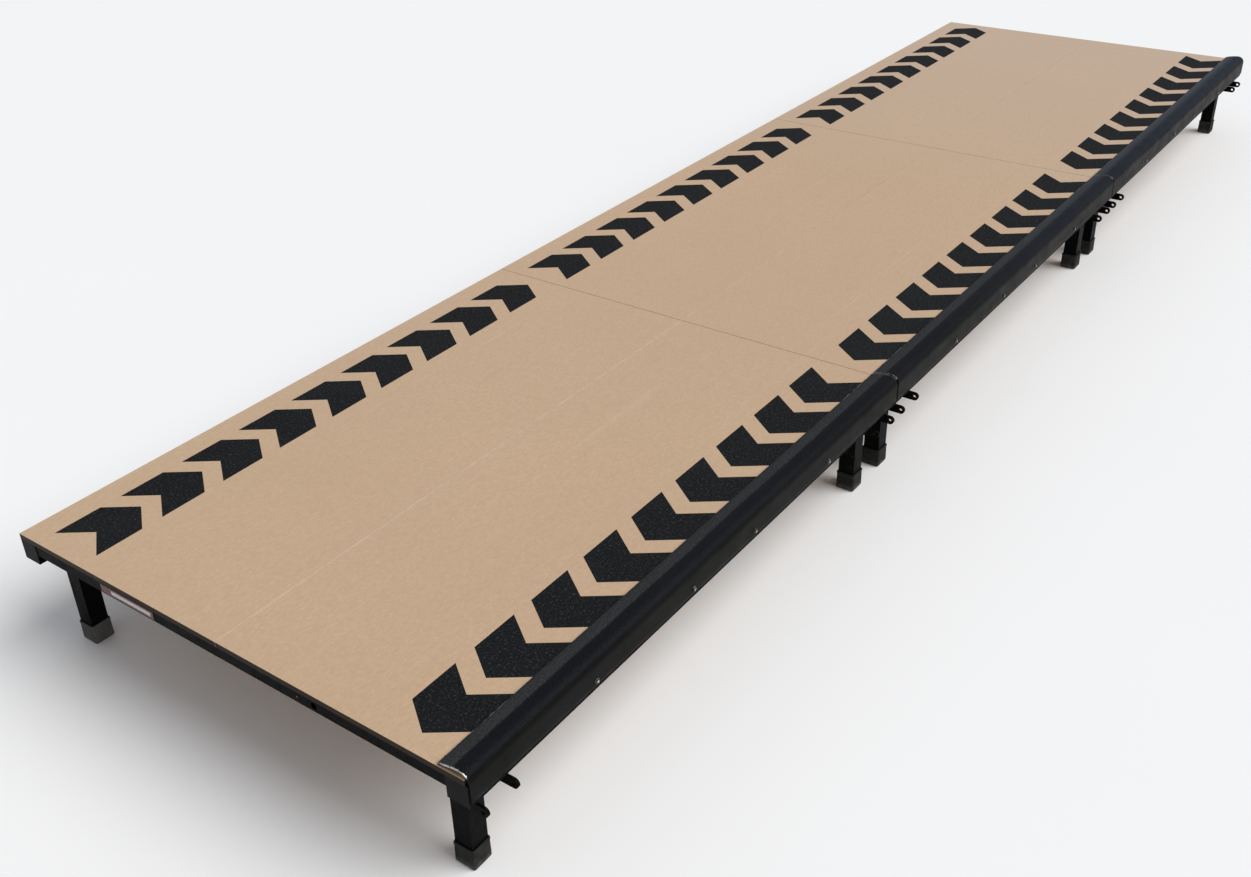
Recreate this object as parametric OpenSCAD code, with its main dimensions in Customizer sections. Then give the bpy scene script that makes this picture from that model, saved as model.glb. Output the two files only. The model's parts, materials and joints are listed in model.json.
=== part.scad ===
// Low folding platform: three bolted modules with a steel coping along the front edge.
// +X runs along the length, -Y is the coping side and +Z is up.
// The origin is on the floor, at the centre of the footprint.

/* [Platform] */
// Overall length of the three modules
overall_l = 3658; // [3300:1:4000]
// Depth from the front face of the coping to the back edge
body_w = 965; // [800:1:1200]
// Height of the deck surface above the floor
deck_top = 222; // [210:1:300]
// Gap between neighbouring modules
module_gap = 1; // [0.5:0.5:3]

/* [Deck] */
// Thickness of the deck panels
deck_t = 9.5; // [6:0.5:12]
// Gap between the front and back panel of a module
panel_gap = 1; // [0.5:0.5:3]
// Clearance from the front face of the coping to the front panel
deck_front_gap = 7; // [6.8:0.1:10]

/* [Frame] */
// Outside size of the square side rails
rail_s = 38; // [34:1:42]
// Outside size of the square end rails, seam rails and cross members
cross_s = 20; // [16:1:25]
// Wall thickness of every tube
wall = 2; // [1.5:0.5:3]
// Number of cross members under each module
cross_count = 3; // [3:1:4]
// Distance of the end rails from the end of their module
end_setback = 1; // [0.9:0.1:3]
// Thickness of the caps that close the outer ends of the side rails
cap_t = 1.5; // [1:0.5:3]

/* [Coping] */
// Height of the crown above the deck surface
coping_rise = 10.5; // [8:0.5:14]
// Outside radius of the corner between crown and flange
coping_r = 13; // [6:0.5:14]
// Distance from the front face to the place where the crown starts to slope down
crown_y = 30; // [20:1:40]
// Thickness of the sheet
sheet_t = 2.5; // [2:0.5:3]
// Depth of the flange's lower edge below the deck surface
flange_drop = 40; // [34:1:46]
// Distance from the front face to the edge of the lip
lip_y = 54; // [52:1:60]
// Height of the lip's edge above the deck surface
lip_h = 4; // [3:0.5:5]
// Distance of the coping from the ends of its module
coping_inset = 2; // [0.5:0.5:5]
// Offsets of the coping screws from the middle of a module
screw_offsets = [91, 340];

/* [Legs] */
// Outside size of the square leg tubes
leg_s = 32; // [28:1:34]
// Distance from the end of a module to the middle of its legs
leg_x = 53; // [50:1:80]
// Depth of the fold pivot below the deck surface
pivot_drop = 31; // [31:1:36]
// Thickness of the collar between a side rail and a leg
collar_t = 4; // [3.5:0.5:8]
// Radius of the pivot studs
stud_r = 5; // [4:0.5:6]
// Outside size of the square rubber boots
boot_s = 38; // [36:1:38]
// Height of the rubber boots
boot_h = 37; // [25:1:60]

/* [Pin lugs] */
// Depth of the pin holes below the deck surface
lug_drop = 70; // [68:1:80]
// Radius of the rounded lug tips
lug_r = 8; // [7:0.5:9]
// Distance of each lug from the middle of its leg
lug_offset = 30.5; // [28:0.5:31]
// Thickness of the lug plates
lug_t = 5; // [3:0.5:8]
// Radius of the pin holes
pin_hole_r = 3.5; // [3:0.5:5]

/* [Grip] */
// Number of chevrons in each row of a module
chevron_count = 9; // [5:1:12]
// Depth of the chevron rows
grip_w = 111; // [60:1:120]
// Thickness of the grip sheet
grip_t = 1; // [0.5:0.1:2]
// Distance from the module's ends to its chevrons
grip_margin = 33; // [20:1:60]

/* [Hidden] */
module_count = 3;
module_l = (overall_l - (module_count - 1) * module_gap) / module_count;
modules = [1:module_count];
sides = ["left", "right"];
rows = ["front", "back"];

fit_gap = 0.1;         // slip clearance between pieces that slide together
stud_gap = 0.05;       // running clearance of a leg on its stud
round_fn = 64;

front_y = -(body_w + lug_r) / 2 + lug_r;
rail_y = sheet_t + 2 * fit_gap;        // front face of the front rail
rail_bottom = -deck_t - rail_s;
frame_y0 = rail_y + rail_s;            // inner faces of the side rails
frame_y1 = body_w - rail_s;
cross_z = -deck_t - cross_s;
seam_y = body_w / 2;

leg_front_y = frame_y0 + collar_t + leg_s / 2;
leg_back_y = frame_y1 - collar_t - leg_s / 2;
leg_head = 12;                         // leg tube above its pivot
sole_t = 6;                            // rubber under the leg tube
nut_r = 9.5;
nut_h = 7;

joint_bolt_y = [seam_y - 200, seam_y + 200];
joint_bolt_r = 5;
joint_hole_r = 5.5;
joint_z = cross_z + cross_s / 2;

screw_r = 2.4;
screw_hole_r = 2.5;
screw_head_r = 5;
screw_head_h = 2.2;
screw_l = rail_y + wall + 4;
screw_z = -31;

lug_web_y = 24;                        // start of the lug's upright part

chevron_bar = 88;
grip_front_y = 53;
grip_back_y = 806;

label_l = 128;
label_h = 15;
label_t = 0.7;
label_y = 628;

// Left end of a module along X
function module_x(m) = -overall_l / 2 + (m - 1) * (module_l + module_gap);
// Middle of a leg along its module
function leg_at(s) = s == "left" ? leg_x : module_l - leg_x;
// Middle of a leg across the platform
function leg_y(r) = r == "front" ? leg_front_y : leg_back_y;
// Middles of the cross members along a module
function cross_at(i) = module_l * i / (cross_count + 1);
// Places of the coping screws along a module
function screw_at() = [for (o = screw_offsets, d = [-1, 1]) module_l / 2 + d * o];

// Moves a shape from module coordinates, counted from the left end, the front face
// and the deck surface
module in_module(m) {
    translate([module_x(m), front_y, deck_top])
        children();
}

// Square tube along X with its corner at the origin
module tube_x(length, size, t) {
    difference() {
        cube([length, size, size]);
        translate([-1, t, t])
            cube([length + 2, size - 2 * t, size - 2 * t]);
    }
}

// Square tube along Y with its corner at the origin
module tube_y(length, size, t) {
    translate([size, 0, 0])
        rotate([0, 0, 90])
            tube_x(length, size, t);
}

module side_rail(m, r) {
    y = r == "front" ? rail_y : frame_y1;
    color([0.06, 0.06, 0.07])
        in_module(m)
            difference() {
                translate([cap_t, y, rail_bottom])
                    tube_x(module_l - 2 * cap_t, rail_s, wall);
                if (r == "front")
                    for (x = screw_at())
                        translate([x, rail_y - 1, screw_z])
                            rotate([-90, 0, 0])
                                cylinder(r = screw_hole_r, h = wall + 2, $fn = round_fn);
            }
}

module end_rail(m, s) {
    x = s == "left" ? end_setback : module_l - end_setback - cross_s;
    color([0.07, 0.07, 0.08])
        in_module(m)
            difference() {
                translate([x, frame_y0, cross_z])
                    tube_y(frame_y1 - frame_y0, cross_s, wall);
                for (y = joint_bolt_y)
                    translate([x - 1, y, joint_z])
                        rotate([0, 90, 0])
                            cylinder(r = joint_hole_r, h = cross_s + 2, $fn = round_fn);
            }
}

module seam_rail(m) {
    x = end_setback + cross_s;
    color([0.07, 0.07, 0.08])
        in_module(m)
            translate([x, seam_y - cross_s / 2, cross_z])
                tube_x(module_l - 2 * x, cross_s, wall);
}

module cross_members(m) {
    half = seam_y - cross_s / 2;
    color([0.08, 0.08, 0.09])
        in_module(m)
            for (i = [1:cross_count]) {
                translate([cross_at(i) - cross_s / 2, frame_y0, cross_z])
                    tube_y(half - frame_y0, cross_s, wall);
                translate([cross_at(i) - cross_s / 2, half + cross_s, cross_z])
                    tube_y(frame_y1 - half - cross_s, cross_s, wall);
            }
}

module deck_panel(m, r) {
    y0 = r == "front" ? deck_front_gap : seam_y + panel_gap / 2;
    y1 = r == "front" ? seam_y - panel_gap / 2 : body_w;
    color([0.78, 0.66, 0.52])
        in_module(m)
            difference() {
                translate([0, y0, -deck_t])
                    cube([module_l, y1 - y0, deck_t]);
                grip_sheets(r, grip_t + 1);
            }
}

// Section of the coping: flange, corner, crown and sloping lip, with x as Y and y as Z
module coping_section() {
    corner_z = coping_rise - coping_r;
    translate([0, -flange_drop])
        square([sheet_t, flange_drop + corner_z]);
    difference() {
        translate([coping_r, corner_z])
            circle(r = coping_r, $fn = 128);
        translate([coping_r, corner_z])
            circle(r = coping_r - sheet_t, $fn = 128);
        translate([-1, corner_z - coping_r - 1])
            square([2 * coping_r + 2, coping_r + 1]);
        translate([coping_r, corner_z - 1])
            square([coping_r + 1, coping_r + 2]);
    }
    polygon([
        [coping_r, coping_rise],
        [crown_y, coping_rise],
        [lip_y, lip_h],
        [lip_y, fit_gap],
        [crown_y, coping_rise - sheet_t],
        [coping_r, coping_rise - sheet_t]
    ]);
}

module coping(m) {
    color([0.1, 0.11, 0.13])
        in_module(m)
            difference() {
                translate([coping_inset, 0, 0])
                    rotate([90, 0, 90])
                        linear_extrude(module_l - 2 * coping_inset)
                            coping_section();
                for (x = screw_at())
                    translate([x, -1, screw_z])
                        rotate([-90, 0, 0])
                            cylinder(r = screw_hole_r, h = sheet_t + 2, $fn = round_fn);
            }
}

module coping_screw() {
    rotate([-90, 0, 0])
        rotate_extrude($fn = round_fn)
            polygon([
                [0, -screw_head_h],
                [screw_head_r - 1.6, -screw_head_h],
                [screw_head_r, -0.6],
                [screw_head_r, 0],
                [screw_r, 0],
                [screw_r, screw_l],
                [0, screw_l + screw_r]
            ]);
}

module coping_screws() {
    color([0.75, 0.75, 0.74])
        for (m = modules, x = screw_at())
            in_module(m)
                translate([x, 0, screw_z])
                    coping_screw();
}

module leg(m, r, s) {
    color([0.05, 0.05, 0.05])
        in_module(m)
            translate([leg_at(s), leg_y(r), -pivot_drop])
                difference() {
                    height = deck_top - pivot_drop - sole_t + leg_head;
                    translate([-leg_s / 2, -leg_s / 2, leg_head - height])
                        cube([leg_s, leg_s, height]);
                    translate([-leg_s / 2 + wall, -leg_s / 2 + wall, leg_head - height - 1])
                        cube([leg_s - 2 * wall, leg_s - 2 * wall, height + 2]);
                    translate([0, -leg_s / 2 - 1, 0])
                        rotate([-90, 0, 0])
                            cylinder(r = stud_r + stud_gap, h = leg_s + 2, $fn = round_fn);
                }
}

module boot(m, r, s) {
    socket = leg_s + 2 * fit_gap;
    color([0.16, 0.16, 0.16])
        in_module(m)
            translate([leg_at(s), leg_y(r), -deck_top])
                difference() {
                    translate([-boot_s / 2, -boot_s / 2, 0])
                        cube([boot_s, boot_s, boot_h]);
                    translate([-socket / 2, -socket / 2, sole_t])
                        cube([socket, socket, boot_h]);
                }
}

// Stud with its collar against the rail and its lock nut on the far side of the leg
module pivot_stud() {
    leg_start = collar_t + fit_gap;
    leg_end = collar_t + leg_s + fit_gap;
    rotate([-90, 0, 0]) {
        cylinder(r = stud_r + 4, h = collar_t - fit_gap, $fn = round_fn);
        cylinder(r = stud_r, h = leg_end + nut_h + 3, $fn = round_fn);
        translate([0, 0, leg_end + fit_gap])
            cylinder(r = nut_r, h = nut_h, $fn = 6);
    }
}

module pivot_studs() {
    color([0.3, 0.3, 0.31])
        for (m = modules, s = sides)
            in_module(m) {
                translate([leg_at(s), frame_y0, -pivot_drop])
                    pivot_stud();
                translate([leg_at(s), frame_y1, -pivot_drop])
                    mirror([0, 1, 0])
                        pivot_stud();
            }
}

// Lug plate in the YZ plane: upright part welded under the rail, arm and drilled tip
module pin_lug() {
    rotate([90, 0, 90])
        translate([0, 0, -lug_t / 2])
            linear_extrude(lug_t)
                difference() {
                    union() {
                        translate([0, -lug_drop])
                            circle(r = lug_r, $fn = round_fn);
                        translate([0, -lug_drop - lug_r])
                            square([frame_y0, 2 * lug_r]);
                        translate([lug_web_y, -lug_drop - lug_r])
                            square([frame_y0 - lug_web_y, lug_drop + lug_r + rail_bottom]);
                    }
                    translate([0, -lug_drop])
                        circle(r = pin_hole_r, $fn = round_fn);
                }
}

module pin_lugs() {
    color([0.04, 0.04, 0.04])
        for (m = modules, s = sides, d = [-1, 1])
            in_module(m)
                translate([leg_at(s) + d * lug_offset, 0, 0])
                    pin_lug();
}

// Bolt through the end rails of two neighbouring modules, centred on their joint
module joint_bolt() {
    grip_l = 2 * (end_setback + cross_s) + module_gap;
    rotate([0, 90, 0]) {
        translate([0, 0, -grip_l / 2 - nut_h])
            cylinder(r = nut_r, h = nut_h, $fn = 6);
        translate([0, 0, -grip_l / 2 - nut_h])
            cylinder(r = joint_bolt_r, h = grip_l + 2 * nut_h + 3, $fn = round_fn);
        translate([0, 0, grip_l / 2])
            cylinder(r = nut_r, h = nut_h, $fn = 6);
    }
}

module joint_bolts() {
    color([0.6, 0.6, 0.62])
        for (m = [2:module_count], y = joint_bolt_y)
            in_module(m)
                translate([-module_gap / 2, y, joint_z])
                    joint_bolt();
}

// Cap with its plug towards +X
module rail_cap() {
    inner = rail_s - 2 * wall - 2 * fit_gap;
    cube([cap_t, rail_s, rail_s]);
    translate([0, wall + fit_gap, wall + fit_gap])
        cube([cap_t + 8, inner, inner]);
}

module rail_end_caps() {
    color([0.05, 0.05, 0.05])
        for (y = [rail_y, frame_y1]) {
            in_module(1)
                translate([0, y, rail_bottom])
                    rail_cap();
            in_module(module_count)
                translate([module_l, y, rail_bottom])
                    mirror([1, 0, 0])
                        rail_cap();
        }
}

// Chevron that points towards +X, with its lower left corner at the origin
module chevron(bar, depth, point, height) {
    linear_extrude(height)
        polygon([
            [0, 0],
            [bar, 0],
            [bar + point, depth / 2],
            [bar, depth],
            [0, depth],
            [point, depth / 2]
        ]);
}

// Row of chevrons along the module, with its ends at the grip margin
module chevron_row(height) {
    pitch = (module_l - 2 * grip_margin) / chevron_count;
    for (i = [0:chevron_count - 1])
        translate([grip_margin + i * pitch, 0, 0])
            chevron(chevron_bar, grip_w, pitch - chevron_bar, height);
}

// Grip sheets of one module's row, let into the deck so that wheels roll over them
module grip_sheets(r, height) {
    if (r == "front")
        translate([module_l, grip_front_y, -grip_t])
            mirror([1, 0, 0])
                chevron_row(height);
    else
        translate([0, grip_back_y, -grip_t])
            chevron_row(height);
}

module grip_row(r) {
    color([0.05, 0.05, 0.06])
        for (m = modules)
            in_module(m)
                grip_sheets(r, grip_t);
}

module label_plate() {
    color([0.45, 0.12, 0.14])
        in_module(1)
            translate([end_setback - label_t, label_y, cross_z + (cross_s - label_h) / 2])
                cube([label_t, label_l, label_h]);
}

for (m = modules) {
    for (r = rows) {
        side_rail(m, r);
        deck_panel(m, r);
        for (s = sides) {
            leg(m, r, s);
            boot(m, r, s);
        }
    }
    for (s = sides)
        end_rail(m, s);
    cross_members(m);
    seam_rail(m);
    coping(m);
}
pivot_studs();
pin_lugs();
coping_screws();
joint_bolts();
rail_end_caps();
grip_row("front");  // grip_front
grip_row("back");  // grip_back
label_plate();
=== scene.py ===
"""Looks for the low folding platform: materials, moulded and welded detail, light and camera."""
import json
import math

import bmesh
import bpy
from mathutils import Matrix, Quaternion, Vector, noise


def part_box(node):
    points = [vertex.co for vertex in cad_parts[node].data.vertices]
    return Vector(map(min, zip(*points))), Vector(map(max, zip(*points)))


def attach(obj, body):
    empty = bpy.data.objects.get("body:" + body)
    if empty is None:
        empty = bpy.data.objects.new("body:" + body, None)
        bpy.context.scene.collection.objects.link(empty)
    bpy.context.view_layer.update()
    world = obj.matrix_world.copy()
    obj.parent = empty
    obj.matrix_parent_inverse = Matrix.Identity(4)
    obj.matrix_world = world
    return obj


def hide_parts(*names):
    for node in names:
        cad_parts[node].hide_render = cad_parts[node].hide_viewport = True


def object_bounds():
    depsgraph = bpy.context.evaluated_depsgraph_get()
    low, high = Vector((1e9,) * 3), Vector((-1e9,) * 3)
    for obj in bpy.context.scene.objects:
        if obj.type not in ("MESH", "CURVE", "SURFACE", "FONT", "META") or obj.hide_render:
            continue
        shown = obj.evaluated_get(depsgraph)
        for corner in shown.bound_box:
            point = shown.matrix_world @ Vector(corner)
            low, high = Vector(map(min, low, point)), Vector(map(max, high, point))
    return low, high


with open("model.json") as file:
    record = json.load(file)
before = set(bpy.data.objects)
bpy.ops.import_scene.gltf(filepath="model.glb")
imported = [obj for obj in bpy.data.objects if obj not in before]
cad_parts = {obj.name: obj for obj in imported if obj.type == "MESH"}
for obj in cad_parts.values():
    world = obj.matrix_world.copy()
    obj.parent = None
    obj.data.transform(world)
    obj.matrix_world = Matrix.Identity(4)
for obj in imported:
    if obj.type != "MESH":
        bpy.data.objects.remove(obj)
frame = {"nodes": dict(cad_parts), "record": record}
CAD_BOX = [list(corner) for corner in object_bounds()]
NODES = frame["nodes"]
PLATFORM = "platform"
MODULES = (1, 2, 3)
SIDES = ("left", "right")
ROWS = ("front", "back")


# ---------------------------------------------------------------- camera

def make_camera():
    """The viewing angle of the photograph: from the left end, on the coping side, looking down."""
    place = Vector((-2.677, -1.356, 1.456))
    azimuth, elevation = math.radians(-52.50), math.radians(30.93)
    roll = math.radians(-2.30)
    back = Vector((
        math.sin(azimuth) * math.cos(elevation),
        -math.cos(azimuth) * math.cos(elevation),
        math.sin(elevation),
    ))
    data = bpy.data.cameras.new("camera")
    data.sensor_width = 36.0
    data.lens = 38.57
    data.shift_x = 0.0216
    data.shift_y = -0.0099
    data.clip_start, data.clip_end = 0.05, 100.0
    camera = bpy.data.objects.new("camera", data)
    bpy.context.scene.collection.objects.link(camera)
    camera.rotation_mode = "QUATERNION"
    turn = (-back).to_track_quat("-Z", "Y")
    camera.rotation_quaternion = turn @ Quaternion((0.0, 0.0, 1.0), roll)
    camera.location = place
    bpy.context.scene.camera = camera


# ---------------------------------------------------------------- material kit

class Shader:
    """A node material with short calls for the textures that the surfaces share."""

    def __init__(self, name):
        self.material = bpy.data.materials.new(name)
        self.material.use_nodes = True
        self.tree = self.material.node_tree
        self.bsdf = self.tree.nodes["Principled BSDF"]
        self.coords = self.tree.nodes.new("ShaderNodeTexCoord")

    def link(self, value, socket):
        """Joins a socket to a socket, or sets a plain value on it."""
        if isinstance(value, bpy.types.NodeSocket):
            self.tree.links.new(value, socket)
        elif isinstance(value, tuple) and len(value) == 3 and socket.type == "RGBA":
            socket.default_value = (*value, 1.0)
        else:
            socket.default_value = value

    def space(self, scale=(1.0, 1.0, 1.0), turn=(0.0, 0.0, 0.0)):
        """Object coordinates, stretched along each axis and turned."""
        mapping = self.tree.nodes.new("ShaderNodeMapping")
        self.tree.links.new(self.coords.outputs["Object"], mapping.inputs["Vector"])
        mapping.inputs["Scale"].default_value = scale
        mapping.inputs["Rotation"].default_value = turn
        return mapping.outputs["Vector"]

    def noise(self, scale, detail=3.0, roughness=0.5, space=None):
        """Fractal noise from 0 to 1, with scale in cycles per metre."""
        node = self.tree.nodes.new("ShaderNodeTexNoise")
        node.inputs["Scale"].default_value = scale
        node.inputs["Detail"].default_value = detail
        node.inputs["Roughness"].default_value = roughness
        self.tree.links.new(space or self.coords.outputs["Object"], node.inputs["Vector"])
        return node.outputs["Fac"]

    def cells(self, scale):
        """Distance to the nearest of scattered points, for grains and crystals."""
        node = self.tree.nodes.new("ShaderNodeTexVoronoi")
        node.feature = "F1"
        node.inputs["Scale"].default_value = scale
        self.tree.links.new(self.coords.outputs["Object"], node.inputs["Vector"])
        return node.outputs["Distance"]

    def ramp(self, value, low, high, out_low=0.0, out_high=1.0):
        """Maps low..high to out_low..out_high and holds the ends."""
        node = self.tree.nodes.new("ShaderNodeMapRange")
        node.clamp = True
        for socket, number in zip(node.inputs[1:5], (low, high, out_low, out_high)):
            socket.default_value = number
        self.link(value, node.inputs["Value"])
        return node.outputs["Result"]

    def math(self, operation, a, b=0.0):
        node = self.tree.nodes.new("ShaderNodeMath")
        node.operation = operation
        self.link(a, node.inputs[0])
        self.link(b, node.inputs[1])
        return node.outputs["Value"]

    def mix(self, factor, a, b):
        node = self.tree.nodes.new("ShaderNodeMix")
        node.data_type = "RGBA"
        self.link(factor, node.inputs[0])
        self.link(a, node.inputs[6])
        self.link(b, node.inputs[7])
        return node.outputs[2]

    def mix_value(self, factor, a, b):
        node = self.tree.nodes.new("ShaderNodeMix")
        node.data_type = "FLOAT"
        self.link(factor, node.inputs[0])
        self.link(a, node.inputs[2])
        self.link(b, node.inputs[3])
        return node.outputs[0]

    def part(self, kind, axis):
        """One axis of a coordinate or of the surface normal."""
        split = self.tree.nodes.new("ShaderNodeSeparateXYZ")
        self.tree.links.new(self.coords.outputs[kind], split.inputs["Vector"])
        return split.outputs[axis]

    def facing(self, axis, low, high):
        """1 where the surface's own normal lies along an axis, either way."""
        return self.ramp(self.math("ABSOLUTE", self.part("Normal", axis)), low, high)

    def bump(self, height, strength, distance):
        node = self.tree.nodes.new("ShaderNodeBump")
        node.inputs["Strength"].default_value = strength
        node.inputs["Distance"].default_value = distance
        self.link(height, node.inputs["Height"])
        return node.outputs["Normal"]

    def finish(self, color, roughness, normal=None, metallic=0.0, specular=0.5):
        """Joins the values to the surface shader and gives the material."""
        self.link(color, self.bsdf.inputs["Base Color"])
        self.link(roughness, self.bsdf.inputs["Roughness"])
        self.link(metallic, self.bsdf.inputs["Metallic"])
        self.link(specular, self.bsdf.inputs["Specular IOR Level"])
        if normal is not None:
            self.link(normal, self.bsdf.inputs["Normal"])
        return self.material


BARE_STEEL = (0.56, 0.55, 0.53)


def deck_board(middle):
    """Tan paper-composite board: fine fibre grain on the faces, dark plies on the edges."""
    s = Shader("deck_board")
    fibre = s.noise(260.0, 4.0, 0.65, s.space((0.35, 1.0, 1.0)))
    speck = s.noise(900.0, 2.0, 0.6)
    cloud = s.noise(2.2, 3.0, 0.5)
    patch = s.noise(11.0, 4.0, 0.6, s.space((0.5, 1.0, 1.0)))
    tan = s.mix(s.ramp(cloud, 0.3, 0.7), (0.570, 0.398, 0.254), (0.612, 0.430, 0.274))
    tan = s.mix(s.ramp(s.noise(150.0, 3.0, 0.6), 0.35, 0.65, 0.0, 0.5), tan, (0.515, 0.352, 0.222))
    tan = s.mix(s.ramp(fibre, 0.35, 0.65, 0.0, 0.75), tan, (0.500, 0.342, 0.214))
    tan = s.mix(s.ramp(speck, 0.58, 0.70, 0.0, 0.7), tan, (0.72, 0.54, 0.38))
    tan = s.mix(s.ramp(speck, 0.38, 0.28, 0.0, 0.4), tan, (0.40, 0.27, 0.17))
    # Rolling marks: long faint streaks, mostly along the platform
    streak_space = s.space((0.45, 34.0, 1.0), turn=(0.0, 0.0, 0.05))
    streak = s.noise(3.0, 5.0, 0.62, streak_space)
    worn = s.math("MULTIPLY", s.ramp(streak, 0.60, 0.72), s.ramp(patch, 0.42, 0.66))
    tan = s.mix(s.math("MULTIPLY", worn, 0.16), tan, (0.30, 0.21, 0.14))
    pale = s.math("MULTIPLY", s.ramp(streak, 0.40, 0.30), s.ramp(patch, 0.60, 0.42))
    tan = s.mix(s.math("MULTIPLY", pale, 0.22), tan, (0.70, 0.53, 0.37))
    # Painted reflection: the deck turns paler and greyer towards the far end
    tan = s.mix(s.ramp(s.part("Object", "X"), 0.3, 1.8, 0.0, 0.50), tan, (0.580, 0.446, 0.352))
    # Pressed plies on the cut edges, dark with resin
    ply = s.noise(1.0, 2.0, 0.5, s.space((4.0, 4.0, 900.0)))
    edge = s.mix(s.ramp(ply, 0.3, 0.7), (0.016, 0.012, 0.009), (0.040, 0.027, 0.018))
    up = s.facing("Z", 0.55, 0.85)
    color = s.mix(up, edge, tan)
    # Painted highlight: a pale, ragged band along the panel edges at the middle seam, stronger towards
    # the left end
    seam = s.math("ABSOLUTE", s.math("SUBTRACT", s.part("Object", "Y"), middle))
    seam_highlight_width = s.ramp(s.noise(90.0, 4.0, 0.7, s.space((0.3, 1.0, 1.0))), 0.35, 0.7, 0.0009, 0.0019)
    seam_highlight_fade = s.ramp(s.part("Object", "X"), -0.70, 0.10, 0.72, 0.50)
    sideways = s.facing("X", 0.85, 0.55)
    seam_highlight = s.math("MULTIPLY", s.math("LESS_THAN", seam, seam_highlight_width), s.math("MULTIPLY", seam_highlight_fade, sideways))
    color = s.mix(seam_highlight, color, (0.80, 0.64, 0.46))
    rough = s.ramp(s.noise(40.0, 4.0, 0.6), 0.3, 0.7, 0.34, 0.46)
    height = s.math("ADD", s.math("MULTIPLY", fibre, 0.6), s.math("MULTIPLY", speck, 0.4))
    normal = s.bump(height, 0.22, 0.0004)
    return s.finish(color, rough, normal, specular=s.mix_value(up, 0.05, 0.55))


def worn_steel_mix(s, paint, worn, paint_rough, steel_rough=0.34):
    """Blends paint with bare steel where worn is 1, and gives colour, roughness, metallic."""
    grey = s.mix(s.noise(120.0, 3.0), (0.42, 0.41, 0.39), BARE_STEEL)
    color = s.mix(worn, paint, grey)
    rough = s.mix_value(worn, paint_rough, steel_rough)
    return color, rough, worn


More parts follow.
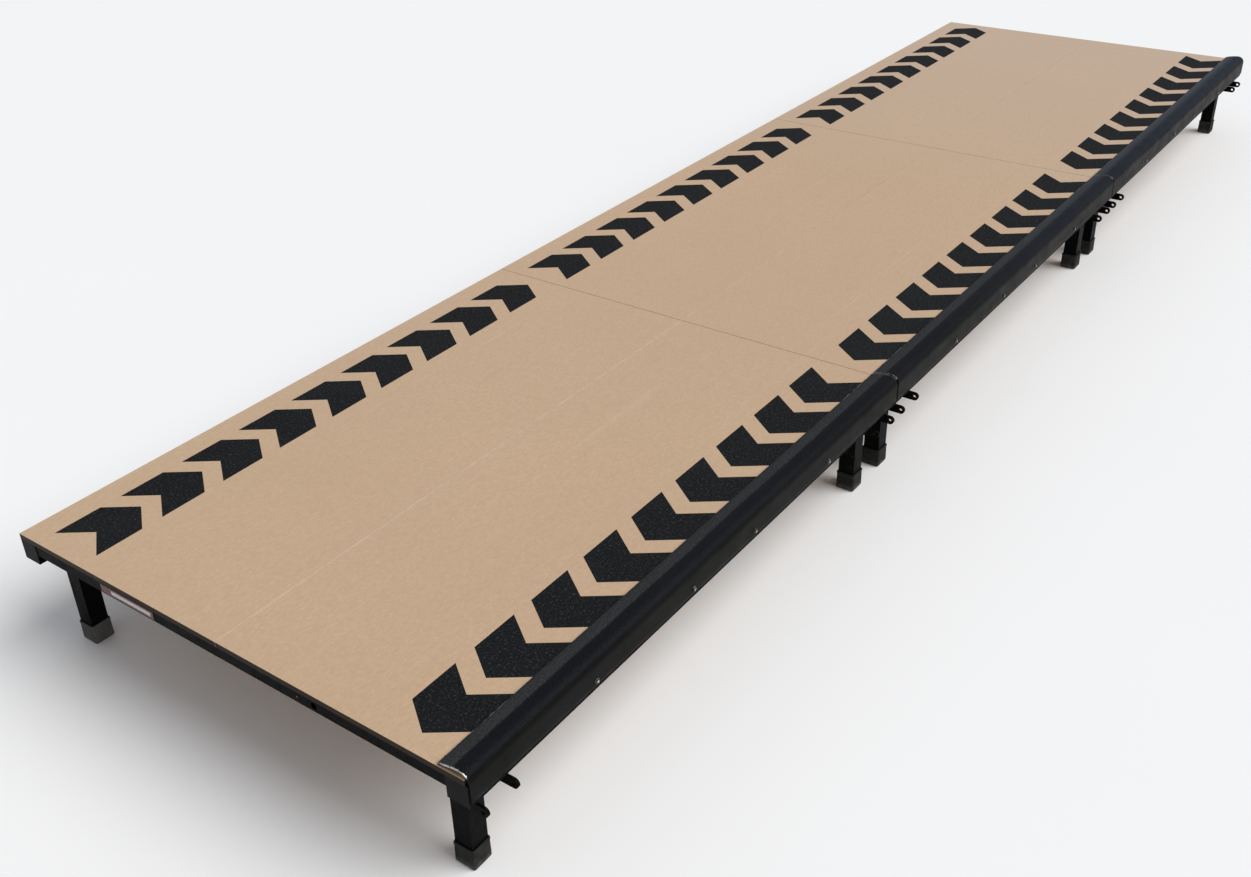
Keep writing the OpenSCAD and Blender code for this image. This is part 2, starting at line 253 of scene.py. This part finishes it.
def coping_paint(low, high):
    """Black paint on bent steel: rougher, with a painted reflection, on the slope to the lip, polished
    on the crown, bare at its cut ends.
    """
    s = Shader("coping_paint")
    length = high.x - low.x
    y, z = s.part("Object", "Y"), s.part("Object", "Z")
    grain = s.noise(430.0, 4.0, 0.7)
    peel = s.noise(170.0, 3.0, 0.55)
    cloud = s.noise(14.0, 5.0, 0.65, s.space((0.5, 1.0, 1.0)))
    speck = s.ramp(grain, 0.36, 0.66)
    crown = s.mix(speck, (0.0030, 0.0036, 0.0050), (0.0110, 0.0126, 0.0160))
    slope_reflection = s.mix(speck, (0.0150, 0.0165, 0.0180), (0.0520, 0.0545, 0.0580))
    flange_shade = s.mix(speck, (0.0022, 0.0021, 0.0018), (0.0074, 0.0071, 0.0063))
    # Painted reflection: the slope down to the lip is made lighter and rougher, and its edge lighter
    # still
    wander = s.ramp(s.noise(6.0, 4.0, 0.6), 0.3, 0.7, -0.0015, 0.0015)
    slope = s.ramp(s.math("ADD", y, wander), low.y + 0.0275, low.y + 0.0315)
    edge = s.ramp(y, high.y - 0.0040, high.y - 0.0005)
    color = s.mix(slope, crown, slope_reflection)
    color = s.mix(s.math("MULTIPLY", edge, 0.5), color, (0.060, 0.062, 0.065))
    # Painted reflection of the pale blue sky, growing towards the far end and strongest towards the lip
    far_reflection = s.ramp(s.part("Object", "X"), -0.4, 1.7, 0.0, 0.75)
    color = s.mix(far_reflection, color, s.mix(s.ramp(y, low.y + 0.024, high.y), (0.016, 0.022, 0.036),
                                         (0.105, 0.120, 0.145)))
    # Painted shade: the flange below the crown takes a darker, warmer copy of the paint; the crown's
    # faint blue is a painted sky reflection
    color = s.mix(s.ramp(z, high.z - 0.0045, high.z - 0.0095), color, flange_shade)
    # Painted highlight along the rounded corner where the crown meets the flange
    ridge_highlight = s.math("MULTIPLY", s.ramp(z, high.z - 0.0060, high.z - 0.0030),
                   s.ramp(y, low.y + 0.0060, low.y + 0.0025))
    color = s.mix(s.math("MULTIPLY", ridge_highlight, 0.35), color, (0.030, 0.031, 0.032))
    color = s.mix(s.ramp(cloud, 0.48, 0.72, 0.0, 0.22), color, (0.016, 0.017, 0.018))
    # Grinding along the edge leaves thin bright lines; they run along the coping
    line = s.noise(1.6, 4.0, 0.6, s.space((1.1, 260.0, 260.0)))
    bite = s.noise(5.0, 4.0, 0.7, s.space((1.0, 0.1, 0.1)))
    up = s.ramp(s.part("Normal", "Z"), 0.35, 0.85)
    scratch = s.math("MULTIPLY", s.ramp(line, 0.67, 0.70), s.ramp(bite, 0.56, 0.70))
    scratch = s.math("MULTIPLY", s.math("MULTIPLY", scratch, up), 0.35)
    # Paint chipped off next to the cut ends and gone from the upper part of the cut itself
    along = s.part("Generated", "X")
    end = s.math("MULTIPLY", s.math("MINIMUM", along, s.math("SUBTRACT", 1.0, along)), length)
    ragged = s.ramp(s.noise(330.0, 3.0, 0.7), 0.42, 0.75, 0.0, 0.0026)
    high_up = s.ramp(z, high.z - 0.0080, high.z - 0.0050)
    chip = s.math("MULTIPLY", s.math("LESS_THAN", end, ragged), high_up)
    cut = s.math("MULTIPLY", s.facing("X", 0.7, 0.9), s.ramp(s.noise(190.0, 4.0, 0.7), 0.45, 0.58))
    cut = s.math("MULTIPLY", cut, high_up)
    # The lip's edge is rubbed to metal for a short way before each end
    rub = s.math("MULTIPLY", s.ramp(end, 0.15, 0.09), s.ramp(y, high.y - 0.0022, high.y - 0.0014))
    rub = s.math("MULTIPLY", rub, s.ramp(s.noise(60.0, 3.0, 0.7), 0.44, 0.56))
    worn = s.math("MAXIMUM", s.math("MAXIMUM", scratch, chip), s.math("MAXIMUM", cut, rub))
    gloss = s.ramp(s.noise(22.0, 4.0, 0.6), 0.3, 0.7, 0.38, 0.52)
    gloss = s.mix_value(slope, gloss, 0.62)
    color, rough, metallic = worn_steel_mix(s, color, worn, gloss)
    height = s.math("ADD", s.math("MULTIPLY", grain, 0.5), s.math("MULTIPLY", peel, 0.5))
    normal = s.bump(height, 0.40, 0.0005)
    return s.finish(color, rough, normal, metallic, specular=0.04)


def painted_tube(name, dark, light, rough_range, scuff_color, scuff_amount, specular=0.035):
    """Satin black paint on tube or plate, with dust, fine peel and pale scuffs."""
    s = Shader(name)
    grain = s.noise(520.0, 3.0, 0.6)
    dust = s.noise(26.0, 5.0, 0.65)
    color = s.mix(s.ramp(grain, 0.36, 0.66), dark, light)
    scuff = s.math("MULTIPLY", s.ramp(dust, 0.54, 0.70), s.ramp(s.noise(90.0, 5.0, 0.75), 0.50, 0.62))
    color = s.mix(s.math("MULTIPLY", scuff, scuff_amount), color, scuff_color)
    nick = s.ramp(s.noise(210.0, 2.0, 0.8), 0.735, 0.755)
    nick = s.math("MULTIPLY", nick, s.ramp(dust, 0.50, 0.60))
    rough = s.ramp(s.noise(60.0, 3.0, 0.6), 0.3, 0.7, *rough_range)
    color, rough, metallic = worn_steel_mix(s, color, nick, rough)
    height = s.math("ADD", s.math("MULTIPLY", grain, 0.5), s.math("MULTIPLY", dust, 0.5))
    return s.finish(color, rough, s.bump(height, 0.35, 0.0005), metallic, specular)


def boot_rubber():
    """Moulded rubber, greyed by dust and by floors near the sole, with painted light on the back row's
    front faces.
    """
    s = Shader("boot_rubber")
    pores = s.noise(420.0, 4.0, 0.7)
    dust = s.noise(60.0, 5.0, 0.7)
    color = s.mix(s.ramp(pores, 0.35, 0.65), (0.008, 0.008, 0.0075), (0.021, 0.021, 0.0195))
    color = s.mix(s.ramp(dust, 0.42, 0.74, 0.0, 0.75), color, (0.046, 0.045, 0.042))
    # The back row is greyed; the extra grey on its front faces is painted light
    back_row = s.ramp(s.part("Object", "Y"), 0.0, 0.3)
    front_face = s.ramp(s.part("Normal", "Y"), -0.4, -0.9, 0.65, 1.0)
    back_row_grey_and_light = s.math("MULTIPLY", s.math("MULTIPLY", back_row, front_face),
                     s.ramp(dust, 0.2, 0.8, 0.45, 1.0))
    color = s.mix(back_row_grey_and_light, color, (0.135, 0.133, 0.127))
    low = s.ramp(s.part("Object", "Z"), 0.012, 0.001)
    rubbed = s.math("MULTIPLY", low, s.ramp(dust, 0.38, 0.58))
    color = s.mix(s.math("MULTIPLY", rubbed, 0.6), color, (0.16, 0.155, 0.145))
    rough = s.ramp(dust, 0.3, 0.7, 0.68, 0.9)
    return s.finish(color, rough, s.bump(pores, 0.5, 0.0006), specular=0.10)


def grip_sheet():
    """Coarse black mineral grip: each grain catches the light on its own."""
    s = Shader("grip_sheet")
    grit = s.cells(620.0)
    fine = s.noise(1400.0, 2.0, 0.6)
    rubbed = s.noise(6.0, 4.0, 0.6)
    color = s.mix(s.ramp(grit, 0.15, 0.75), (0.0085, 0.0092, 0.0112), (0.0022, 0.0026, 0.0034))
    color = s.mix(s.ramp(fine, 0.66, 0.74, 0.0, 0.8), color, (0.075, 0.078, 0.085))
    clump = s.noise(230.0, 4.0, 0.85)
    color = s.mix(s.ramp(clump, 0.55, 0.66, 0.0, 1.0), color, (0.056, 0.058, 0.068))
    color = s.mix(s.ramp(clump, 0.46, 0.34, 0.0, 0.9), color, (0.0014, 0.0016, 0.0022))
    color = s.mix(s.ramp(rubbed, 0.50, 0.78, 0.0, 0.30), color, (0.018, 0.019, 0.021))
    height = s.math("SUBTRACT", s.math("MULTIPLY", fine, 0.35), grit)
    return s.finish(color, 0.82, s.bump(height, 0.8, 0.0009), specular=0.16)


def zinc_steel():
    """Zinc-plated fastener steel with a soft crystalline bloom."""
    s = Shader("zinc_steel")
    low, high = (0.30, 0.30, 0.31), (0.46, 0.46, 0.47)
    bloom = s.cells(240.0)
    dull = s.noise(90.0, 4.0, 0.7)
    color = s.mix(s.ramp(bloom, 0.1, 0.7), high, low)
    color = s.mix(s.ramp(dull, 0.52, 0.75, 0.0, 0.6), color, (0.16, 0.15, 0.14))
    rough = s.ramp(dull, 0.3, 0.7, 0.28, 0.52)
    return s.finish(color, rough, s.bump(dull, 0.25, 0.0003), metallic=1.0)


def screw_steel():
    """Black oxide button screws, with bright metal in the socket that is a painted highlight."""
    s = Shader("screw_steel")
    x = s.math("SUBTRACT", s.part("Generated", "X"), 0.5)
    z = s.math("SUBTRACT", s.part("Generated", "Z"), 0.5)
    radius = s.math("SQRT", s.math("ADD", s.math("MULTIPLY", x, x), s.math("MULTIPLY", z, z)))
    dull = s.noise(300.0, 4.0, 0.7)
    # Painted highlight: bright metal colour in the middle of the socket
    bright = s.ramp(radius, 0.24, 0.19)
    rim = s.math("MULTIPLY", s.ramp(radius, 0.44, 0.49), s.ramp(dull, 0.50, 0.60))
    worn = s.math("MAXIMUM", bright, s.math("MULTIPLY", rim, 0.5))
    color = s.mix(s.ramp(dull, 0.4, 0.7), (0.010, 0.010, 0.010), (0.030, 0.030, 0.029))
    color = s.mix(worn, color, (0.72, 0.71, 0.69))
    rough = s.mix_value(worn, 0.45, 0.30)
    return s.finish(color, rough, s.bump(dull, 0.2, 0.0002), metallic=s.math("MULTIPLY", worn, 0.8),
                    specular=0.2)


def cap_plastic():
    """Moulded black plastic with a fine spark-eroded texture."""
    s = Shader("cap_plastic")
    texture = s.noise(700.0, 3.0, 0.6)
    haze = s.noise(40.0, 4.0, 0.6)
    color = s.mix(s.ramp(haze, 0.4, 0.7), (0.0030, 0.0030, 0.0030), (0.0080, 0.0080, 0.0076))
    rough = s.ramp(haze, 0.3, 0.7, 0.5, 0.66)
    return s.finish(color, rough, s.bump(texture, 0.3, 0.0003), specular=0.10)


def label_print():
    """Blank printed label: a dark red field with one pale band and a thin pale border."""
    s = Shader("label_print")
    high = s.part("Generated", "Z")
    along = s.part("Generated", "Y")
    band = s.math("MULTIPLY", s.math("GREATER_THAN", high, 0.26), s.math("LESS_THAN", high, 0.74))
    inside = s.math("MULTIPLY", s.math("GREATER_THAN", along, 0.05), s.math("LESS_THAN", along, 0.80))
    scuff = s.ramp(s.noise(240.0, 4.0, 0.75), 0.48, 0.60)
    field = s.mix(s.noise(30.0, 3.0), (0.085, 0.012, 0.016), (0.13, 0.018, 0.022))
    color = s.mix(s.math("MULTIPLY", band, inside), field, (0.58, 0.55, 0.53))
    color = s.mix(s.math("MULTIPLY", scuff, 0.35), color, (0.10, 0.08, 0.075))
    rough = s.ramp(scuff, 0.0, 1.0, 0.32, 0.6)
    return s.finish(color, rough, s.bump(scuff, 0.15, 0.0002), specular=0.4)


def make_materials():
    return {
        "deck_board": deck_board((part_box("deck_front_1")[1].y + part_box("deck_back_1")[0].y) / 2),
        "coping_paint": coping_paint(*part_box("coping_1")),
        "frame_paint": painted_tube(
            "frame_paint", (0.0012, 0.0011, 0.0010), (0.0040, 0.0038, 0.0034), (0.42, 0.58),
            (0.026, 0.024, 0.021), 0.35),
        "leg_paint": painted_tube(
            "leg_paint", (0.0011, 0.0011, 0.0010), (0.0038, 0.0038, 0.0034), (0.40, 0.60),
            (0.032, 0.031, 0.028), 0.4),
        "boot_rubber": boot_rubber(),
        "cap_plastic": cap_plastic(),
        "zinc_steel": zinc_steel(),
        "screw_steel": screw_steel(),
        "grip_sheet": grip_sheet(),
        "label_print": label_print(),
    }


# ---------------------------------------------------------------- mesh kit

def add_mesh(name, vertices, faces, material, smooth_angle=35.0):
    """Makes a mesh object with outward normals and rounded shading."""
    mesh = bpy.data.meshes.new(name)
    mesh.from_pydata([tuple(v) for v in vertices], [], faces)
    mesh.validate()
    shape = bmesh.new()
    shape.from_mesh(mesh)
    bmesh.ops.remove_doubles(shape, verts=shape.verts, dist=1e-7)
    bmesh.ops.recalc_face_normals(shape, faces=shape.faces)
    limit = math.radians(smooth_angle)
    for face in shape.faces:
        face.smooth = True
    for edge in shape.edges:
        edge.smooth = len(edge.link_faces) == 2 and edge.calc_face_angle(0.0) < limit
    shape.to_mesh(mesh)
    shape.free()
    mesh.materials.append(material)
    piece = bpy.data.objects.new(name, mesh)
    bpy.context.scene.collection.objects.link(piece)
    return piece


def loft(rings, closed_ends=True):
    """Skins rings of equal length into one shell, with flat ends if asked."""
    count = len(rings[0])
    vertices = [v for ring in rings for v in ring]
    faces = []
    for i in range(len(rings) - 1):
        for j in range(count):
            k = (j + 1) % count
            faces.append((i * count + j, i * count + k, (i + 1) * count + k, (i + 1) * count + j))
    if closed_ends:
        faces.append(tuple(range(count))[::-1])
        last = (len(rings) - 1) * count
        faces.append(tuple(range(last, last + count)))
    return vertices, faces


def join(shells):
    """Puts several (vertices, faces) shells into one."""
    vertices, faces = [], []
    for more_vertices, more_faces in shells:
        start = len(vertices)
        vertices += more_vertices
        faces += [tuple(start + i for i in face) for face in more_faces]
    return vertices, faces


def solids(node):
    """The box of every separate solid in a CAD node, as (lowest, highest) corners."""
    shape = bmesh.new()
    shape.from_mesh(NODES[node].data)
    bmesh.ops.remove_doubles(shape, verts=shape.verts, dist=1e-6)
    left = set(shape.verts)
    boxes = []
    while left:
        seed = left.pop()
        found, stack = {seed}, [seed]
        while stack:
            for edge in stack.pop().link_edges:
                for vertex in edge.verts:
                    if vertex not in found:
                        found.add(vertex)
                        stack.append(vertex)
        left -= found
        lows = [min(v.co[i] for v in found) for i in range(3)]
        highs = [max(v.co[i] for v in found) for i in range(3)]
        boxes.append((Vector(lows), Vector(highs)))
    shape.free()
    return sorted(boxes, key=lambda box: (round(box[0].x, 4), round(box[0].y, 4)))


def rounded_square(size, radius, z, middle):
    """A level square outline with round corners, around a middle point."""
    half, steps = size / 2 - radius, 5
    ring = []
    for corner, (sx, sy) in enumerate(((1, 1), (-1, 1), (-1, -1), (1, -1))):
        for step in range(steps + 1):
            angle = (corner + step / steps) * math.pi / 2
            x = sx * half + radius * math.cos(angle)
            y = sy * half + radius * math.sin(angle)
            ring.append(Vector((middle.x + x, middle.y + y, z)))
    return ring


# ---------------------------------------------------------------- pieces

def make_boot(tag, material):
    """Moulded boot: rolled collar, walls that belly a little, and a rounded sole."""
    low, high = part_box(f"boot_{tag}")
    middle = (low + high) / 2
    size, height = high.x - low.x, high.z - low.z
    leg_low, leg_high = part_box(f"leg_{tag}")
    socket = leg_high.x - leg_low.x + 0.0001
    sole = leg_low.z - low.z
    outline = [
        (size - 0.0060, 0.0020, 0.0),
        (size - 0.0024, 0.0030, 0.0006),
        (size - 0.0008, 0.0034, 0.0022),
        (size - 0.0006, 0.0034, 0.10 * height),
        (size - 0.0010, 0.0034, 0.50 * height),
        (size - 0.0014, 0.0034, 0.80 * height),
        (size - 0.0014, 0.0034, height - 0.0055),
        (size - 0.0004, 0.0036, height - 0.0045),
        (size - 0.0002, 0.0036, height - 0.0016),
        (size - 0.0012, 0.0034, height - 0.0004),
        (size - 0.0028, 0.0028, height),
        (socket + 0.0016, 0.0022, height - 0.0002),
        (socket, 0.0018, height - 0.0012),
        (socket, 0.0018, sole),
    ]
    rings = [rounded_square(s, r, low.z + z, middle) for s, r, z in outline]
    boot = add_mesh(f"rubber_boot_{tag}", *loft(rings), material)
    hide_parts(f"boot_{tag}")
    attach(boot, f"leg_set_{tag}")


def coping_section(low, high, deck):
    """Matched outside and inside points of the coping in (y, z), from the flange up to the lip."""
    sheet, corner, crown, lip, hem = 0.0025, 0.017, 0.019, 0.0040, 0.0008
    flange_steps, corner_steps, slope_steps = 5, 14, 18
    front, back, top = low.y, high.y, high.z
    centre = (front + corner, top - corner)
    outer, inner = [], []
    for i in range(flange_steps):
        z = low.z + hem + (centre[1] - low.z - hem) * i / flange_steps
        outer.append((front, z))
        inner.append((front + sheet, z))
    for i in range(corner_steps + 1):
        angle = math.pi - math.pi / 2 * i / corner_steps
        for path, radius in ((outer, corner), (inner, corner - sheet)):
            path.append((centre[0] + radius * math.cos(angle),
                         centre[1] + radius * math.sin(angle)))
    # The crown bends down to the lip, where the sheet lies on the deck
    for i in range(1, slope_steps + 1):
        y = centre[0] + (back - 0.0013 - centre[0]) * i / slope_steps
        fall = max(0.0, (y - front - crown) / (back - front - crown)) ** 1.6
        z = top - (top - deck - lip) * fall
        outer.append((y, z))
        inner.append((y, max(deck + 0.0001, z - sheet - 0.0013 * fall)))
    return outer, inner


def make_coping(module, material):
    """Rolled coping with a rounded lip and flange edge and the slight waves of bent sheet."""
    node = f"coping_{module}"
    low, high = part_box(node)
    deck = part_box(f"deck_front_{module}")[1].z
    outer, inner = coping_section(low, high, deck)
    lip_z, sheet = outer[-1][1], inner[0][0] - outer[0][0]
    nose = [
        (high.y - 0.0005, lip_z - 0.0006),
        (high.y, lip_z - 0.0015),
        (high.y - 0.0001, deck + 0.0012),
        (high.y - 0.0006, deck + 0.0003),
    ]
    hem = [(low.y + sheet - 0.0007, low.z), (low.y + 0.0007, low.z)]
    section = outer + nose + inner[::-1] + hem
    count, pairs, stations, wave = len(section), len(outer), 96, 0.00012
    rings = []
    for i in range(stations + 1):
        x = low.x + (high.x - low.x) * i / stations
        ring = []
        for y, z in section:
            sway = wave * noise.noise(Vector((x * 1.7, 3.0 * z, 5.0 * module)))
            ring.append(Vector((x, y + sway, z + sway * (z > lip_z))))
        rings.append(ring)
    vertices, faces = loft(rings, closed_ends=False)
    # The bent section is closed at each end by faces between its outside and its inside
    for base in (0, stations * count):
        across = [base + count - 3 - i for i in range(pairs)]
        for i in range(pairs - 1):
            faces.append((base + i, base + i + 1, across[i + 1], across[i]))
        faces.append((base + pairs - 1, *range(base + pairs, base + pairs + 4), across[-1]))
        faces.append((base, across[0], base + count - 2, base + count - 1))
    coping = add_mesh(f"rolled_coping_{module}", vertices, faces, material, 50.0)
    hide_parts(node)
    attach(coping, PLATFORM)


def make_screw(number, box, material):
    """Button head with a six-sided socket and a dished rim, on a plain shank."""
    low, high = box
    x, z = (low.x + high.x) / 2, (low.z + high.z) / 2
    face = low.y
    head_r, head_h, shank_r = (high.z - low.z) / 2, 0.0022, 0.0024
    steps = 36
    dome = [(head_r, 0.0), (head_r, 0.0005), (head_r * 0.94, 0.0011), (head_r * 0.80, 0.0017),
            (head_r * 0.62, 0.0021), (head_r * 0.50, head_h)]
    socket_r = head_r * 0.42

    def ring(radius, depth, six_sided=False):
        points = []
        for i in range(steps):
            angle = 2 * math.pi * i / steps
            r = radius
            if six_sided:
                sector = (angle % (math.pi / 3)) - math.pi / 6
                r = radius * math.cos(math.pi / 6) / math.cos(sector)
            points.append(Vector((x + r * math.cos(angle), depth, z + r * math.sin(angle))))
        return points

    root = face + head_h
    rings = [ring(shank_r, high.y - 0.002), ring(shank_r, root)]
    rings += [ring(r, root - h) for r, h in dome]
    rings += [ring(socket_r, face, True), ring(socket_r * 0.94, face + 0.0013, True)]
    screw = add_mesh(f"button_screw_{number:02d}", *loft(rings), material, 30.0)
    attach(screw, PLATFORM)
    return screw


def weld_bead(start, end, radius, side_a, side_b, seed):
    """Rippled fillet between two faces: its section fills the corner of side_a and side_b."""
    start, end = Vector(start), Vector(end)
    way = end - start
    length = way.length
    ripples = max(6, int(length / (radius * 0.55)))
    steps = ripples * 4
    arc = 6
    rings = []
    for i in range(steps + 1):
        t = i / steps
        ripple = abs(math.sin(math.pi * t * ripples))
        taper = min(1.0, 6.0 * t + 0.25, 6.0 * (1 - t) + 0.25)
        wander = noise.noise(Vector((t * length * 180.0, seed, 0.5)))
        r = radius * taper * (0.80 + 0.16 * ripple + 0.10 * wander)
        at = start + way * t
        ring = [at - (side_a + side_b) * (0.12 * radius)]
        for k in range(arc + 1):
            angle = math.pi / 2 * k / arc
            ring.append(at + side_a * (r * math.cos(angle)) + side_b * (r * math.sin(angle)))
        rings.append(ring)
    return loft(rings)


def make_lug_welds(material):
    """Fillets between each pin lug and the underside of its rail."""
    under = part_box("front_rail_1")[0].z
    radius, inset, web = 0.0034, 0.002, 0.0165
    beads = []
    for number, (low, high) in enumerate(solids("pin_lugs")):
        web_front = high.y - web + inset
        for x, way in ((low.x, -1.0), (high.x, 1.0)):
            beads.append(weld_bead((x, web_front, under), (x, high.y - inset, under), radius,
                                   Vector((way, 0, 0)), Vector((0, 0, -1)), number + way))
    welds = add_mesh("lug_welds", *join(beads), material, 60.0)
    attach(welds, PLATFORM)


def make_rail_welds(material):
    """Fillets at the joints of the end rails and cross members with the side rails."""
    beads, radius, inset, end_margin = [], 0.0030, 0.0015, 0.004
    inner = (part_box("front_rail_1")[1].y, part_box("back_rail_1")[0].y)
    bars = []
    for m in MODULES:
        bars += [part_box(f"end_rail_{m}_{s}") for s in SIDES]
        bars += solids(f"cross_members_{m}")
    for number, (low, high) in enumerate(bars):
        for y, way in ((inner[0], 1.0), (inner[1], -1.0)):
            if min(abs(low.y - y), abs(high.y - y)) > 0.001:
                continue
            for x, out in ((low.x, -1.0), (high.x, 1.0)):
                if abs(x) > CAD_BOX[1][0] - end_margin:
                    continue
                beads.append(weld_bead((x, y, low.z + inset), (x, y, high.z - 2 * inset), radius,
                                       Vector((out, 0, 0)), Vector((0, way, 0)), number + out))
            beads.append(weld_bead((low.x + inset, y, low.z), (high.x - inset, y, low.z), radius,
                                   Vector((0, 0, -1)), Vector((0, way, 0)), number + 0.3))
    welds = add_mesh("rail_welds", *join(beads), material, 60.0)
    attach(welds, PLATFORM)


def dress_cad_nodes(materials):
    """Gives every CAD node its material and rounds the edges that show."""
    slots = {row["node"]: row["material_slot"] for row in frame["record"]["subparts"]}
    rounding = {"deck": 0.0004, "front": 0.0022, "back": 0.0022, "end": 0.0016, "cross": 0.0016,
                "seam": 0.0016, "leg": 0.0024, "rail": 0.0008, "pin": 0.0006, "joint": 0.0005,
                "pivot": 0.0005, "label": 0.0002}
    for name, node in NODES.items():
        node.data.materials.clear()
        node.data.materials.append(materials[slots[name]])
        width = rounding.get(name.split("_")[0])
        if width:
            bevel = node.modifiers.new("edges", "BEVEL")
            bevel.width = width
            bevel.segments = 3
            bevel.limit_method = "ANGLE"
            bevel.angle_limit = math.radians(40.0)
            bevel.harden_normals = False


# ---------------------------------------------------------------- studio

def make_floor():
    """A plain pale floor with the faint unevenness of painted board."""
    half = 40.0
    corners = [(-half, -half, 0.0), (half, -half, 0.0), (half, half, 0.0), (-half, half, 0.0)]
    s = Shader("studio_floor")
    tone = s.mix(s.noise(1.5, 3.0), (0.92, 0.92, 0.92), (0.94, 0.94, 0.94))
    floor = add_mesh("studio_floor", corners, [(0, 1, 2, 3)], s.finish(tone, 0.75, specular=0.2))


def make_lights():
    """One wide soft light from the coping side, over an even pale surround."""
    data = bpy.data.lights.new("key", "SUN")
    data.energy = 2.5
    data.angle = math.radians(50.0)
    data.color = (1.0, 0.99, 0.975)
    key = bpy.data.objects.new("key", data)
    bpy.context.scene.collection.objects.link(key)
    key.rotation_mode = "QUATERNION"
    key.rotation_quaternion = Vector((-0.35, 0.80, -1.0)).to_track_quat("-Z", "Y")
    world = bpy.data.worlds.new("studio")
    world.use_nodes = True
    background = world.node_tree.nodes["Background"]
    background.inputs["Color"].default_value = (0.92, 0.95, 1.0, 1.0)
    background.inputs["Strength"].default_value = 0.42
    bpy.context.scene.world = world
    bpy.context.scene.view_settings.view_transform = "Standard"


# ---------------------------------------------------------------- scene

make_camera()
MATERIALS = make_materials()
dress_cad_nodes(MATERIALS)
for module in MODULES:
    make_coping(module, MATERIALS["coping_paint"])
    for row in ROWS:
        for side in SIDES:
            make_boot(f"{module}_{row}_{side}", MATERIALS["boot_rubber"])
screws = [make_screw(i + 1, box, MATERIALS["screw_steel"])
          for i, box in enumerate(solids("coping_screws"))]
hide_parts("coping_screws")
make_lug_welds(MATERIALS["frame_paint"])
make_rail_welds(MATERIALS["frame_paint"])
make_floor()
make_lights()
